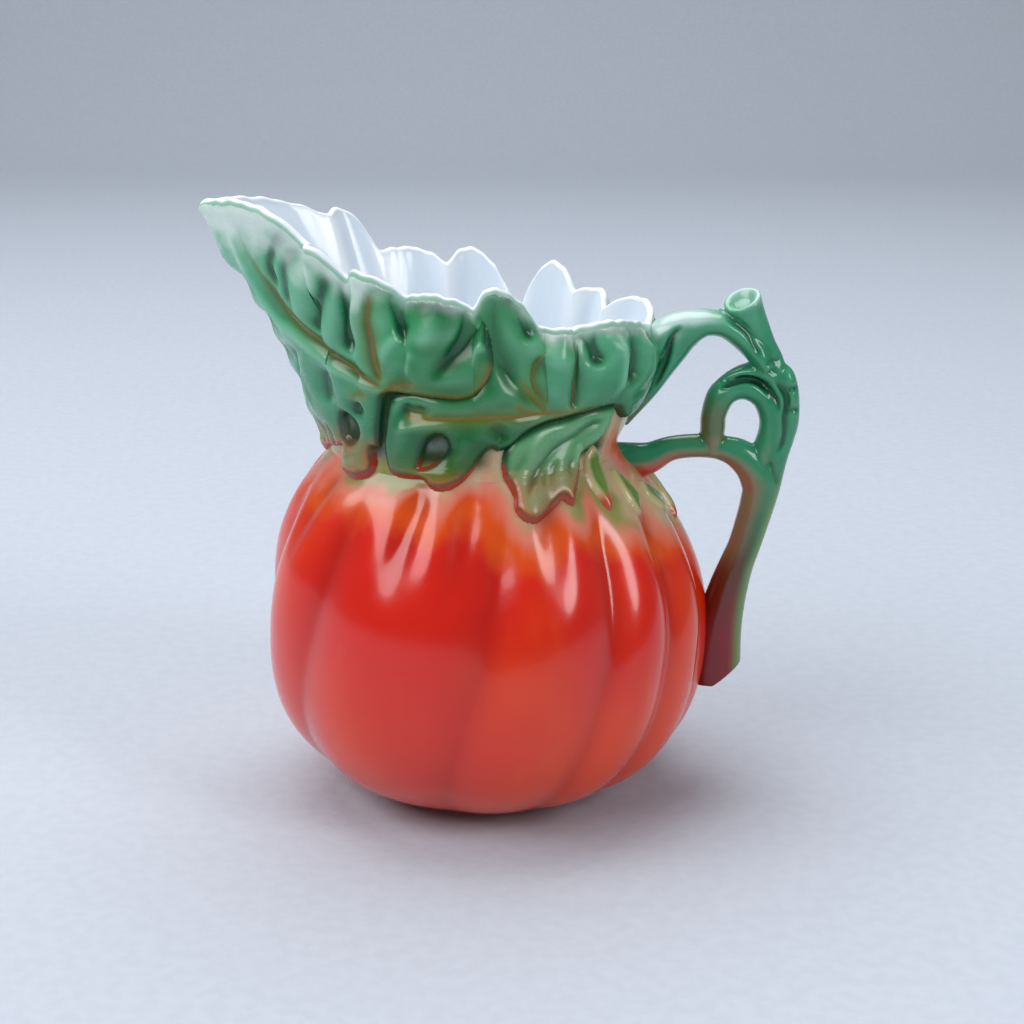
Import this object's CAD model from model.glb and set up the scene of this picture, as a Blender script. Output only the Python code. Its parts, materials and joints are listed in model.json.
"""Dresses the tomato creamer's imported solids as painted, glazed porcelain.

Sizes are millimetres in the row frame and become metres when a mesh is made. An angle round the
jug is in degrees from +X. A leaf is drawn in degrees from the pouring lip and in shares of the
collar's height, where a share below zero runs down the shoulder, to -1 at the widest ring.
"""

from __future__ import annotations

import json
import logging
import math
from dataclasses import dataclass, field
from enum import Enum
from typing import Any, Sequence

import bpy
import numpy as np
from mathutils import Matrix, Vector

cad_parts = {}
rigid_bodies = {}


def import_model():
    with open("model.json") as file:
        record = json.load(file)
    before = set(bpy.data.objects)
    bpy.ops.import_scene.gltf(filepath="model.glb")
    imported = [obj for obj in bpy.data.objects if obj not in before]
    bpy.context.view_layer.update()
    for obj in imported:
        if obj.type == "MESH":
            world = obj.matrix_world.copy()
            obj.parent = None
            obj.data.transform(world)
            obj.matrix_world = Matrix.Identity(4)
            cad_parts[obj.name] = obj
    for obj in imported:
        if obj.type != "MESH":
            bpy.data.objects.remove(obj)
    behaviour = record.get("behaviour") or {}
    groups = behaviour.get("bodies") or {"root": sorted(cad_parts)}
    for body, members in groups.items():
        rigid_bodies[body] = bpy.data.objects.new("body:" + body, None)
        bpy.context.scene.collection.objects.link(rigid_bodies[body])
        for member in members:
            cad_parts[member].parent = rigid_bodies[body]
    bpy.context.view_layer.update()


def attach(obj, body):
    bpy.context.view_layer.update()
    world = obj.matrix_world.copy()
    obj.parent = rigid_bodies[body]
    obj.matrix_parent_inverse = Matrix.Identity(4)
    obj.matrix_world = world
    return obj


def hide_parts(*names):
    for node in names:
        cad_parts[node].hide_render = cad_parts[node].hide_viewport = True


MM = 0.001
BLOCK = 6000
ROOT = "root"
LOG = logging.getLogger("creamer")

Points = Sequence[tuple[float, float]]
Colour = tuple[float, float, float]


class Side(Enum):
    """Which side of the jug a leaf is on: the sign of its angle round the jug."""

    FRONT = -1
    BACK = 1


def smoothstep(value: np.ndarray, low: float, high: float) -> np.ndarray:
    """A smooth ramp from 0 at low to 1 at high."""
    t = np.clip((value - low) / (high - low), 0.0, 1.0)
    return t * t * (3 - 2 * t)


def lerp(a: Any, b: Any, t: Any) -> Any:
    """The value a share t of the way from a to b."""
    return a + (b - a) * t


def band(value: np.ndarray, start: float, full: float, wane: float, end: float) -> np.ndarray:
    """A smooth band: 0 up to start, 1 from full to wane, and 0 again from end."""
    return smoothstep(value, start, full) * (1 - smoothstep(value, wane, end))


def bell(offset: np.ndarray, width: Any) -> np.ndarray:
    """A bell curve: 1 at an offset of zero and a little over a third at the width."""
    return np.exp(-((offset / width) ** 2))


def crown(share: np.ndarray, fullness: float, softness: float) -> np.ndarray:
    """Height of a round crown between two grooves that glaze has filled a little.

    Args:
        share: 0 at one groove to 1 at the next.
        fullness: below 1 for a full crown.
        softness: how far the glaze rounds the groove.

    Returns:
        0 in a groove to 1 on the crown.
    """
    wave = np.sin(np.pi * np.clip(share, 0, 1)) ** 2
    low = softness**fullness
    high = (1 + softness**2) ** (fullness / 2)
    return ((wave + softness**2) ** (fullness / 2) - low) / (high - low)


@dataclass(frozen=True)
class JugSkin:
    """The outer skin that the body, the collar and all that is luted to them share."""

    body_radius: float = 35.52
    widest_height: float = 28.0
    seam_height: float = 56.5
    neck_radius: float = 21.9
    foot_radius: float = 13.2
    body_wall: float = 2.8
    floor_thickness: float = 4.0
    groove_depth: float = 2.2
    belly_squareness: float = 2.65
    groove_angles: tuple[float, ...] = (-178, -143, -92, -58, -35, -12, 12, 38, 68, 104, 146)
    groove_lean: float = 27.0
    # Short flutes on the shoulder: angle and depth
    flutes: tuple[tuple[float, float], ...] = (
        (-162, 0.9), (-121, 1.8), (-103, 1.0), (-76, 0.9), (25, 0.5), (54, 0.8), (86, 1.2), (126, 1.5),
        (164, 0.8),
    )
    flute_width: float = 5.0
    collar_offset: float = 2.0
    lip_reach: float = 21.0
    lip_rise: float = 37.5
    back_rise: float = 21.5
    waist_depth: float = 2.0
    lip_hollow: float = 2.0
    handle_swell: float = 5.5
    rim_wall: float = 1.2
    rim_waver: float = 0.08
    ruffle_height: float = 6.0
    puff_depth: float = 2.0
    # How slip fills the crease at the seam: step between the samples it averages, and reach, in shares
    slip_step: float = 0.05
    slip_reach: float = 0.16
    # Angle from the lip, share of the lip's reach, share of the lip's extra rise
    rim_plan: tuple[tuple[float, float, float], ...] = (
        (0, 1, 1), (10, 0.8, 0.94), (20, 0.62, 0.86), (35, 0.43, 0.72), (50, 0.25, 0.55), (66, 0.1, 0.41),
        (90, 0.02, 0.28), (123, -0.01, 0.09), (153, 0.13, 0.03), (180, 0.33, 0),
    )
    # Angle and height share of each notch of the rim, then of the crest that follows it
    ruffles: tuple[tuple[float, float, float, float], ...] = (
        (-180, 0.12, -154, 0.8), (-145, 0.27, -141, 0.37), (-133, -0.13, -127, 0.24),
        (-114, -0.08, -102, 0.19), (-89, 0, -81, 0.66), (-59, -0.14, -52, -0.08), (-44, -0.14, -34, 0.05),
        (-3, -0.32, 15, 0.08), (25, -0.3, 33, 0.05), (40, -0.05, 54, 0.53), (69, -1, 92, 0.22),
        (103, -0.3, 113, -0.1), (129, -0.43, 138, 0.43), (145, 0.12, 160, 0.3),
    )

    @property
    def shoulder(self) -> float:
        """Height of the shoulder, from the widest ring to the seam."""
        return self.seam_height - self.widest_height

    def lean_at(self, z: np.ndarray) -> np.ndarray:
        """How far round the jug the grooves have turned at a height, in degrees."""
        return self.groove_lean * (z - self.widest_height) / self.seam_height

    def rim_value(self, column: int, at: np.ndarray) -> np.ndarray:
        """One column of the rim plan at an angle from the lip, smoothly interpolated."""
        table = np.array(self.rim_plan, float)
        x = table[:, 0]
        y = table[:, column]
        slope = np.zeros_like(y)
        slope[1:-1] = (y[2:] - y[:-2]) / (x[2:] - x[:-2])
        k = np.clip(np.searchsorted(x, at, side="left") - 1, 0, len(x) - 2)
        width = x[k + 1] - x[k]
        t = np.clip((at - x[k]) / width, 0, 1)
        bend = t * (1 - t) * width * ((1 - t) * slope[k] - t * slope[k + 1])
        return lerp(y[k], y[k + 1], t * t * (3 - 2 * t)) + bend

    def belly(self, z: np.ndarray, radius: float, seam: float, foot: float, bottom: float) -> np.ndarray:
        """Radius of the belly without its lobes.

        Args:
            z: heights.
            radius: radius at the widest ring.
            seam: radius at the seam.
            foot: radius at the bottom.
            bottom: height of the bottom.

        Returns:
            The radius at each height: an ellipse above the widest ring, a squarer curve below.
        """
        closing = self.shoulder / math.sqrt(1 - (seam / radius) ** 2)
        rise = np.clip((z - self.widest_height) / closing, 0, 1)
        upper = radius * np.sqrt(1 - rise**2)
        n = self.belly_squareness
        deepest = (1 - (foot / radius) ** n) ** (1 / n)
        depth = np.clip(deepest * (self.widest_height - z) / (self.widest_height - bottom), 0, 1)
        return np.where(z > self.widest_height, upper, radius * (1 - depth**n) ** (1 / n))

    def lobe(self, angle: np.ndarray, z: np.ndarray) -> np.ndarray:
        """How far round its lobe an angle lies: 0 in a groove, 1 on a crown."""
        ends = np.array([*self.groove_angles, self.groove_angles[0] + 360], float)
        at = np.mod(angle - self.lean_at(z) - ends[0], 360) + ends[0]
        k = np.clip(np.searchsorted(ends, at, side="right") - 1, 0, len(ends) - 2)
        return crown((at - ends[k]) / (ends[k + 1] - ends[k]), fullness=0.8, softness=0.18)

    def groove_at(self, z: np.ndarray) -> np.ndarray:
        """Depth of the grooves: most on the shoulder, running out at the seam and at the foot."""
        run_out = 1 - smoothstep(z, self.seam_height - 0.45 * self.shoulder, self.seam_height)
        rise = smoothstep(z, 0.7 * self.widest_height, self.widest_height + 0.6 * self.shoulder)
        foot = lerp(0.25, 1.0, smoothstep(z, 0, 0.3 * self.widest_height))
        return self.groove_depth * run_out * lerp(0.6, 1.0, rise) * foot

    def flute_at(self, angle: np.ndarray, z: np.ndarray) -> np.ndarray:
        """Depth of the short flutes that run down the shoulder from under the leaves."""
        depth = np.zeros(np.broadcast(angle, z).shape)
        for at, deep in self.flutes:
            off = np.mod(angle - self.lean_at(z) - at + 180, 360) - 180
            depth = depth + deep * bell(off, self.flute_width)
        share = (z - self.widest_height) / self.shoulder
        return depth * band(share, 0.3, 0.75, 0.88, 1.0)

    def axis_x(self, z: np.ndarray) -> np.ndarray:
        """Middle of the jug at a height: the collar stands a little forward of the foot."""
        return -self.collar_offset * smoothstep(z, self.widest_height, self.seam_height)

    @staticmethod
    def polar(angle: np.ndarray, radius: np.ndarray, z: np.ndarray, centre: np.ndarray) -> np.ndarray:
        """Points from an angle, a radius, a height and the X of the axis."""
        a = np.radians(angle)
        x = centre + radius * np.cos(a)
        y = radius * np.sin(a)
        return np.stack(np.broadcast_arrays(x, y, z), axis=-1).astype(float)

    def body(self, angle: np.ndarray, z: np.ndarray) -> np.ndarray:
        """Points of the lobed body."""
        smooth = self.belly(z, self.body_radius, self.neck_radius, self.foot_radius, 0.0)
        radius = smooth - self.groove_at(z) * (1 - self.lobe(angle, z)) - self.flute_at(angle, z)
        return self.polar(angle, radius, z, self.axis_x(z))

    def cavity(self, angle: np.ndarray, z: np.ndarray) -> np.ndarray:
        """Points of the body's smooth inside."""
        widest = self.body_radius - self.groove_depth - self.body_wall
        radius = self.belly(z, widest, self.neck_radius - self.body_wall, 0.0, self.floor_thickness)
        return self.polar(angle, radius, z, self.axis_x(z))

    def ruffle(self, angle: np.ndarray) -> tuple[np.ndarray, np.ndarray]:
        """The rim's ruffle at an angle.

        Args:
            angle: degrees round the jug.

        Returns:
            Its height share, and 0 in a notch to 1 on a crest.
        """
        table = np.array([*self.ruffles, (180, self.ruffles[0][1], 0, 0)], float)
        at = np.mod(angle + 180, 360) - 180
        k = np.clip(np.searchsorted(table[:, 0], at, side="right") - 1, 0, len(self.ruffles) - 1)
        notch, crest, after = table[k, 0], table[k, 2], table[k + 1, 0]
        rising = at < crest
        share = np.where(rising, (at - notch) / (crest - notch), (after - at) / (after - crest))
        swell = crown(share / 2, fullness=0.8, softness=0.16)
        foot = np.where(rising, table[k, 1], table[k + 1, 1])
        return lerp(foot, table[k, 3], swell), crown(share / 2, fullness=1.2, softness=0.3)

    def collar(self, angle: np.ndarray, share: np.ndarray) -> np.ndarray:
        """Points of the collar's outside, from the seam (0) to the rim (1)."""
        from_lip = np.abs(np.mod(angle, 360) - 180)
        rim_radius = self.neck_radius + self.lip_reach * self.rim_value(1, from_lip)
        rise = lerp(self.back_rise, self.lip_rise, self.rim_value(2, from_lip)) - self.rim_wall / 2
        hollow = self.lip_hollow * (1 - smoothstep(from_lip, 0, 60))
        waist = self.waist_depth + hollow - self.handle_swell * smoothstep(from_lip, 130, 180)
        bend = lerp(self.neck_radius, rim_radius, 0.45) - waist
        t = np.clip(share, 0, 1)
        radius = (1 - t) ** 2 * self.neck_radius + 2 * t * (1 - t) * bend + t**2 * rim_radius
        height, swell = self.ruffle(angle)
        radius = radius + self.puff_depth * (swell - 0.6) * t**2
        turn = np.radians(angle)
        waver = self.rim_waver * (np.sin(41 * turn) + np.sin(67 * turn + 1) - 1)
        z = self.seam_height + rise * t + self.ruffle_height * height * t**3 + waver * t**8
        return self.polar(angle, radius, z, np.full_like(radius, -self.collar_offset))

    def raw(self, angle: np.ndarray, share: np.ndarray) -> np.ndarray:
        """The skin with the crease at the seam."""
        below = self.body(angle, self.seam_height + np.minimum(share, 0) * self.shoulder)
        return np.where((share > 0)[..., None], self.collar(angle, share), below)

    def point(self, angle: np.ndarray, share: np.ndarray) -> np.ndarray:
        """Points of the skin, with the crease at the seam filled by slip and glaze.

        Args:
            angle: degrees round the jug.
            share: share of the collar's height, or below zero of the shoulder's.

        Returns:
            Points in millimetres, in an array with a last axis of 3.
        """
        angle, share = (np.asarray(x, float) for x in np.broadcast_arrays(angle, share))
        step = self.slip_step * bell(share, self.slip_reach)
        weights = (1 / 16, 4 / 16, 6 / 16, 4 / 16, 1 / 16)
        return sum(w * self.raw(angle, share + k * step) for k, w in zip(range(-2, 3), weights))

    def normal(self, angle: np.ndarray, share: np.ndarray) -> np.ndarray:
        """Unit normals of the skin, pointing out."""
        turn, rise = 0.6, 0.03
        around = self.point(angle + turn, share) - self.point(angle - turn, share)
        high = np.minimum(share + rise / 2, 1.0)
        up = self.point(angle, high) - self.point(angle, high - rise)
        out = np.cross(around, up)
        return out / np.linalg.norm(out, axis=-1, keepdims=True)

    def radius_at(self, angle: np.ndarray, z: np.ndarray) -> np.ndarray:
        """Distance of the skin from the collar's axis at an angle and a height.

        Args:
            angle: degrees round the collar's axis, one for each point.
            z: heights, one for each point.

        Returns:
            The skin's radius for each point.
        """
        shares = np.concatenate([np.linspace(-1.6, 0, 40), np.linspace(0.02, 1, 50)])
        skin = self.point(angle[:, None], np.maximum(shares, -1)[None, :])
        low = shares < -1
        skin[:, low] = self.body(angle[:, None], self.seam_height + shares[None, low] * self.shoulder)
        reach = np.hypot(skin[..., 0] + self.collar_offset, skin[..., 1])
        return np.array([np.interp(h, s[:, 2], r) for h, s, r in zip(z, skin, reach)])


# Mesh making


def placed(name: str, data: bpy.types.ID) -> bpy.types.Object:
    """A new object with this data, linked to the scene."""
    made = bpy.data.objects.new(name, data)
    bpy.context.scene.collection.objects.link(made)
    return made


def baked(holder: bpy.types.Object) -> bpy.types.Mesh:
    """The plain mesh of an object with its modifiers applied. The object is removed."""
    graph = bpy.context.evaluated_depsgraph_get()
    mesh = bpy.data.meshes.new_from_object(holder.evaluated_get(graph), depsgraph=graph)
    bpy.data.objects.remove(holder)
    return mesh


def vertex_field(mesh: bpy.types.Mesh, name: str) -> np.ndarray:
    """A vector for each vertex of a mesh: "co" is its place in metres, "normal" its normal."""
    values = np.empty(3 * len(mesh.vertices), np.float32)
    mesh.vertices.foreach_get(name, values)
    return values.reshape(-1, 3)


def piece_from(
    name: str,
    vertices: np.ndarray,
    quads: np.ndarray,
    triangles: Sequence[list[int]] = (),
    sharp_degrees: float = 70.0,
) -> bpy.types.Object:
    """A smooth-shaded object at the origin whose faces point out.

    Args:
        name: the piece's name.
        vertices: points in millimetres.
        quads: rows of four vertex numbers.
        triangles: faces of three that turn the same way, such as fans at the poles.
        sharp_degrees: the angle between faces past which an edge isn't shaded smooth.

    Returns:
        The new object, linked to the scene.
    """
    corners = vertices[quads]
    volume = 0.0
    for k in (1, 2):
        volume += np.einsum("ij,ij->", corners[:, 0], np.cross(corners[:, k], corners[:, k + 1]))
    faces = [*quads.tolist(), *triangles]
    if volume < 0:
        faces = [face[::-1] for face in faces]
    mesh = bpy.data.meshes.new(name)
    mesh.from_pydata((vertices * MM).tolist(), [], faces)
    mesh.validate()
    mesh.shade_smooth()
    mesh.set_sharp_from_angle(angle=math.radians(sharp_degrees))
    return placed(name, mesh)


def paint(piece: bpy.types.Object, masks: dict[str, np.ndarray]) -> None:
    """Stores masks that the glazes read, one value for each vertex."""
    for name, values in masks.items():
        layer = piece.data.attributes.new(name, "FLOAT", "POINT")
        layer.data.foreach_set("value", np.ascontiguousarray(values, dtype=np.float32).ravel())


def rings_to_faces(rows: int, columns: int, closed: bool) -> np.ndarray:
    """Quads between rings of points.

    Args:
        rows: number of rings.
        columns: points in each ring.
        closed: whether the last ring joins the first.

    Returns:
        Rows of four vertex numbers.
    """
    r = np.arange(rows if closed else rows - 1)[:, None]
    c = np.arange(columns)[None, :]
    after = (r + 1) % rows
    beside = (c + 1) % columns
    quads = [r * columns + c, r * columns + beside, after * columns + beside, after * columns + c]
    return np.stack(np.broadcast_arrays(*quads), axis=-1).reshape(-1, 4)


def nearest(points: np.ndarray, line: np.ndarray) -> tuple[np.ndarray, np.ndarray]:
    """How far points lie from a finely sampled line.

    Args:
        points: array of points.
        line: samples of the line.

    Returns:
        The distance of each point, and the number of its nearest sample.
    """
    distance = np.empty(len(points))
    index = np.empty(len(points), int)
    length = (line**2).sum(1)
    for start in range(0, len(points), BLOCK):
        part = slice(start, start + BLOCK)
        block = points[part]
        square = (block**2).sum(1)[:, None] + length[None, :] - 2 * block @ line.T
        index[part] = square.argmin(1)
        distance[part] = np.sqrt(np.maximum(square.min(1), 0))
    return distance, index


def drawn(points: Points, per_span: int, closed: bool = False) -> np.ndarray:
    """A smooth line through drawn points.

    Args:
        points: the drawn points.
        per_span: samples between two drawn points.
        closed: whether the line returns to its start.

    Returns:
        Samples of a Catmull-Rom curve through the points.
    """
    p = np.array(points, float)
    if closed:
        p = np.concatenate([p[-1:], p, p[:2]])
    else:
        p = np.concatenate([2 * p[:1] - p[1:2], p, 2 * p[-1:] - p[-2:-1]])
    t = np.arange(per_span)[:, None] / per_span
    spans = []
    for a, b, c, d in zip(p[:-3], p[1:-2], p[2:-1], p[3:]):
        bend = (2 * a - 5 * b + 4 * c - d) * t**2 + (3 * b - a - 3 * c + d) * t**3
        spans.append(b + 0.5 * ((c - a) * t + bend))
    if not closed:
        spans.append(p[-2:-1])
    return np.concatenate(spans)


def blurred(grid: np.ndarray, weight: np.ndarray, passes: int) -> np.ndarray:
    """A grid's running mean over the part of it that has weight.

    Args:
        grid: the grid.
        weight: 1 where the grid counts and 0 elsewhere.
        passes: how often it is softened.

    Returns:
        The softened grid.
    """
    total = grid * weight
    mass = weight.copy()
    for _ in range(passes):
        for axis in (0, 1):
            total, mass = (
                (np.roll(f, 1, axis) + np.roll(f, -1, axis)) / 4 + f / 2 for f in (total, mass)
            )
    return total / np.maximum(mass, 1e-6)


def within(angle: np.ndarray, share: np.ndarray, outline: np.ndarray) -> np.ndarray:
    """Whether flat points lie within a closed outline."""
    inside = np.zeros(angle.shape, bool)
    for (a0, s0), (a1, s1) in zip(outline, np.roll(outline, -1, axis=0)):
        if s0 == s1:
            continue
        crosses = (s0 > share) != (s1 > share)
        inside ^= crosses & (angle < a0 + (a1 - a0) * (share - s0) / (s1 - s0))
    return inside


# Shading


class Value:
    """A shader socket that takes part in Python expressions."""

    def __init__(self, shade: "Shade", socket: bpy.types.NodeSocket) -> None:
        """Wraps one output socket of a material's tree."""
        self.shade = shade
        self.socket = socket

    def _math(self, operation: str, first: Any, second: Any) -> "Value":
        """A Math node on two values."""
        return self.shade.node("ShaderNodeMath", {"operation": operation}, {0: first, 1: second})

    def __add__(self, other: Any) -> "Value":
        """Sum."""
        return self._math("ADD", self, other)

    __radd__ = __add__

    def __sub__(self, other: Any) -> "Value":
        """Difference."""
        return self._math("SUBTRACT", self, other)

    def __rsub__(self, other: Any) -> "Value":
        """Difference from a number on the left."""
        return self._math("SUBTRACT", other, self)

    def __mul__(self, other: Any) -> "Value":
        """Product."""
        return self._math("MULTIPLY", self, other)

    __rmul__ = __mul__

    def ramp(self, low: float, high: float) -> "Value":
        """A smooth ramp from 0 at low to 1 at high."""
        settings = {"interpolation_type": "SMOOTHSTEP"}
        return self.shade.node("ShaderNodeMapRange", settings, {0: self, 1: low, 2: high})

    def stops(self, *stops: tuple[float, Colour]) -> "Value":
        """A colour ramp with stops of place and colour."""
        return self.shade.node("ShaderNodeValToRGB", {"stops": stops}, {0: self})


class Shade:
    """A material's node tree and the one method that makes its nodes."""

    def __init__(self, name: str) -> None:
        """Starts a material with a Principled shader."""
        self.material = bpy.data.materials.new(name)
        self.material.use_nodes = True
        self.tree = self.material.node_tree
        self.shader = self.tree.nodes["Principled BSDF"]

    def feed(self, socket: bpy.types.NodeSocket, value: Any) -> None:
        """Links a value to a socket, or sets a number or a colour on it."""
        if isinstance(value, Value):
            self.tree.links.new(value.socket, socket)
        elif isinstance(value, tuple) and socket.type == "RGBA":
            socket.default_value = (*value, 1.0)
        else:
            socket.default_value = value

    def node(
        self,
        kind: str,
        settings: dict[str, Any] | None = None,
        inputs: dict[Any, Any] | None = None,
        output: Any = 0,
    ) -> Value:
        """Makes one node.

        Args:
            kind: the node's type.
            settings: its properties, set first; "stops" fills a colour ramp.
            inputs: values or links by socket name or number.
            output: name or number of the output that is wanted.

        Returns:
            That output, ready for expressions.
        """
        made = self.tree.nodes.new(kind)
        for key, value in (settings or {}).items():
            if key == "stops":
                self._fill(made.color_ramp, value)
            else:
                setattr(made, key, value)
        for key, value in (inputs or {}).items():
            self.feed(made.inputs[key], value)
        return Value(self, made.outputs[output])

    @staticmethod
    def _fill(ramp: bpy.types.ColorRamp, stops: Sequence[tuple[float, Colour]]) -> None:
        """Puts stops of place and colour into a colour ramp."""
        while len(ramp.elements) < len(stops):
            ramp.elements.new(0.5)
        for element, (place, colour) in zip(ramp.elements, stops):
            element.position = place
            element.color = (*colour, 1.0)

    def mask(self, name: str) -> Value:
        """A mask that is stored on the piece."""
        return self.node("ShaderNodeAttribute", {"attribute_name": name}, output="Fac")

    def place(self) -> Value:
        """Object coordinates."""
        return self.node("ShaderNodeTexCoord", output="Object")

    def height(self) -> Value:
        """Height above the table in metres."""
        return self.node("ShaderNodeSeparateXYZ", None, {0: self.place()}, "Z")

    def noise(self, scale: float, detail: float = 2.0, upright: float = 1.0) -> Value:
        """Cloudy noise from 0 to 1 on object coordinates.

        Args:
            scale: waves to the metre.
            detail: how fine it is.
            upright: how much longer than wide its streaks are.

        Returns:
            The noise.
        """
        place = self.place()
        if upright != 1.0:
            stretch = {0: place, 1: (1.0, 1.0, 1.0 / upright)}
            place = self.node("ShaderNodeVectorMath", {"operation": "MULTIPLY"}, stretch)
        inputs = {"Vector": place, "Scale": scale, "Detail": detail}
        return self.node("ShaderNodeTexNoise", None, inputs, "Fac")

    def mix(self, share: Value, first: Any, second: Any) -> Value:
        """A colour that goes from the first to the second with a share."""
        settings = {"data_type": "RGBA", "clamp_factor": True}
        return self.node("ShaderNodeMix", settings, {0: share, 6: first, 7: second}, 2)

    def bump(self, height: Value, distance: float, strength: float) -> None:
        """A fine waviness of the glaze."""
        inputs = {"Height": height, "Distance": distance, "Strength": strength}
        self.feed(self.shader.inputs["Normal"], self.node("ShaderNodeBump", None, inputs))

    def glaze(self, colour: Value, gloss: "Gloss", dull: Any = 0.0) -> bpy.types.Material:
        """Finishes the material as a glaze over a painted body.

        Args:
            colour: the painted colour.
            gloss: how the glaze shines.
            dull: 1 where the glaze has no shine.

        Returns:
            The finished material.
        """
        self.feed(self.shader.inputs["Base Color"], colour)
        waves = self.noise(gloss.waves)
        self.feed(self.shader.inputs["Roughness"], gloss.roughness + gloss.unevenness * waves + 0.6 * dull)
        self.shader.inputs["IOR"].default_value = gloss.ior
        self.feed(self.shader.inputs["Coat Weight"], gloss.coat * (1 - dull))
        self.shader.inputs["Coat Roughness"].default_value = gloss.coat_roughness
        self.bump(waves, gloss.wave_height, gloss.wave_strength)
        return self.material


@dataclass(frozen=True)
class Gloss:
    """How a glaze shines: roughness, its change over the surface, and the waviness of the glaze."""

    roughness: float = 0.16
    unevenness: float = 0.10
    ior: float = 1.5
    coat: float = 0.25
    coat_roughness: float = 0.05
    waves: float = 260.0
    wave_height: float = 0.0004
    wave_strength: float = 0.12


@dataclass(frozen=True)
class ShoulderPaint:
    """The fade from the leaves into the red: cream, then pink, then orange, in streaks."""

    cream: Colour = (0.52, 0.42, 0.24)
    green: Colour = (0.17, 0.27, 0.06)
    pink: Colour = (0.72, 0.25, 0.18)
    orange: Colour = (0.76, 0.10, 0.001)
    brown: Colour = (0.24, 0.035, 0.004)

    def over(self, shade: Shade, red: Any) -> Value:
        """Lays the fade over a colour, by the masks near_leaf and groove.

        Args:
            shade: the material's tree.
            red: the colour away from the leaves.

        Returns:
            The colour with the fade.
        """
        streak = shade.noise(170.0, 2.0, 3.5)
        near = shade.mask("near_leaf") + 0.9 * (streak - 0.5)
        tone = shade.mix(shade.noise(90.0, 2.0, 2.0).ramp(0.42, 0.6), self.cream, self.green)
        groove = shade.mask("groove")
        colour = shade.mix(near.ramp(0.08, 0.5) * 0.7, red, self.orange)
        high = near - 0.55 * groove
        colour = shade.mix(high.ramp(0.3, 0.7) * 0.75, colour, self.pink)
        colour = shade.mix(high.ramp(0.62, 0.95) * 0.85, colour, tone)
        return shade.mix(groove * near.ramp(0.5, 1.0) * 0.6, colour, self.brown)


@dataclass(frozen=True)
class RedGlaze:
    """The tomato's red, sprayed over white: deep on the shoulder, coral below, green at the leaves."""

    deep: Colour = (0.70, 0.010, 0.0003)
    coral: Colour = (0.76, 0.042, 0.018)
    groove: Colour = (0.42, 0.004, 0.0003)
    orange: Colour = (0.82, 0.07, 0.0003)
    clay: Colour = (0.84, 0.89, 0.93)
    shoulder: ShoulderPaint = field(default_factory=ShoulderPaint)
    gloss: Gloss = field(default_factory=Gloss)

    def build(self) -> bpy.types.Material:
        """The body's material."""
        shade = Shade("red_glaze_paint")
        cloud = shade.noise(60.0, 3.0)
        drift = shade.noise(28.0, 2.0)
        red = shade.mix((shade.height() + 0.012 * (cloud - 0.5)).ramp(0.006, 0.036), self.coral, self.deep)
        red = shade.mix(drift.ramp(0.42, 0.7) * 0.6, red, self.orange)
        red = shade.mix(shade.mask("groove") * 0.6, red, self.groove)
        red = self.shoulder.over(shade, red)
        return shade.glaze(shade.mix(shade.mask("bare"), red, self.clay), self.gloss)


@dataclass(frozen=True)
class WhiteGlaze:
    """Clear glaze over the white wall, with the paint that the leaves leave bare outside."""

    white: Colour = (0.86, 0.92, 0.97)
    pooled: Colour = (0.64, 0.75, 0.87)
    red: Colour = (0.60, 0.05, 0.01)
    gap: Colour = (0.016, 0.045, 0.006)
    mint: Colour = (0.34, 0.60, 0.46)
    shoulder: ShoulderPaint = field(default_factory=ShoulderPaint)
    gloss: Gloss = field(default_factory=Gloss)

    def build(self) -> bpy.types.Material:
        """The collar's material."""
        shade = Shade("white_glaze_paint")
        inside = shade.mix(shade.mask("fold").ramp(0.0, 0.8) * 0.7, self.white, self.pooled)
        cloud = shade.noise(90.0, 3.0)
        rise = shade.mask("rise") + 0.06 * (cloud - 0.5)
        outside = self.shoulder.over(shade, self.red)
        outside = shade.mix(shade.mask("gap"), outside, self.gap)
        outside = shade.mix(rise.ramp(0.6, 0.95), outside, self.mint)
        bare = (1 - shade.mask("painted")) + 0.9 * (shade.noise(160.0, 3.0) - 0.5)
        return shade.glaze(shade.mix(bare.ramp(0.0, 0.6), outside, inside), self.gloss, shade.mask("gap"))


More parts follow.
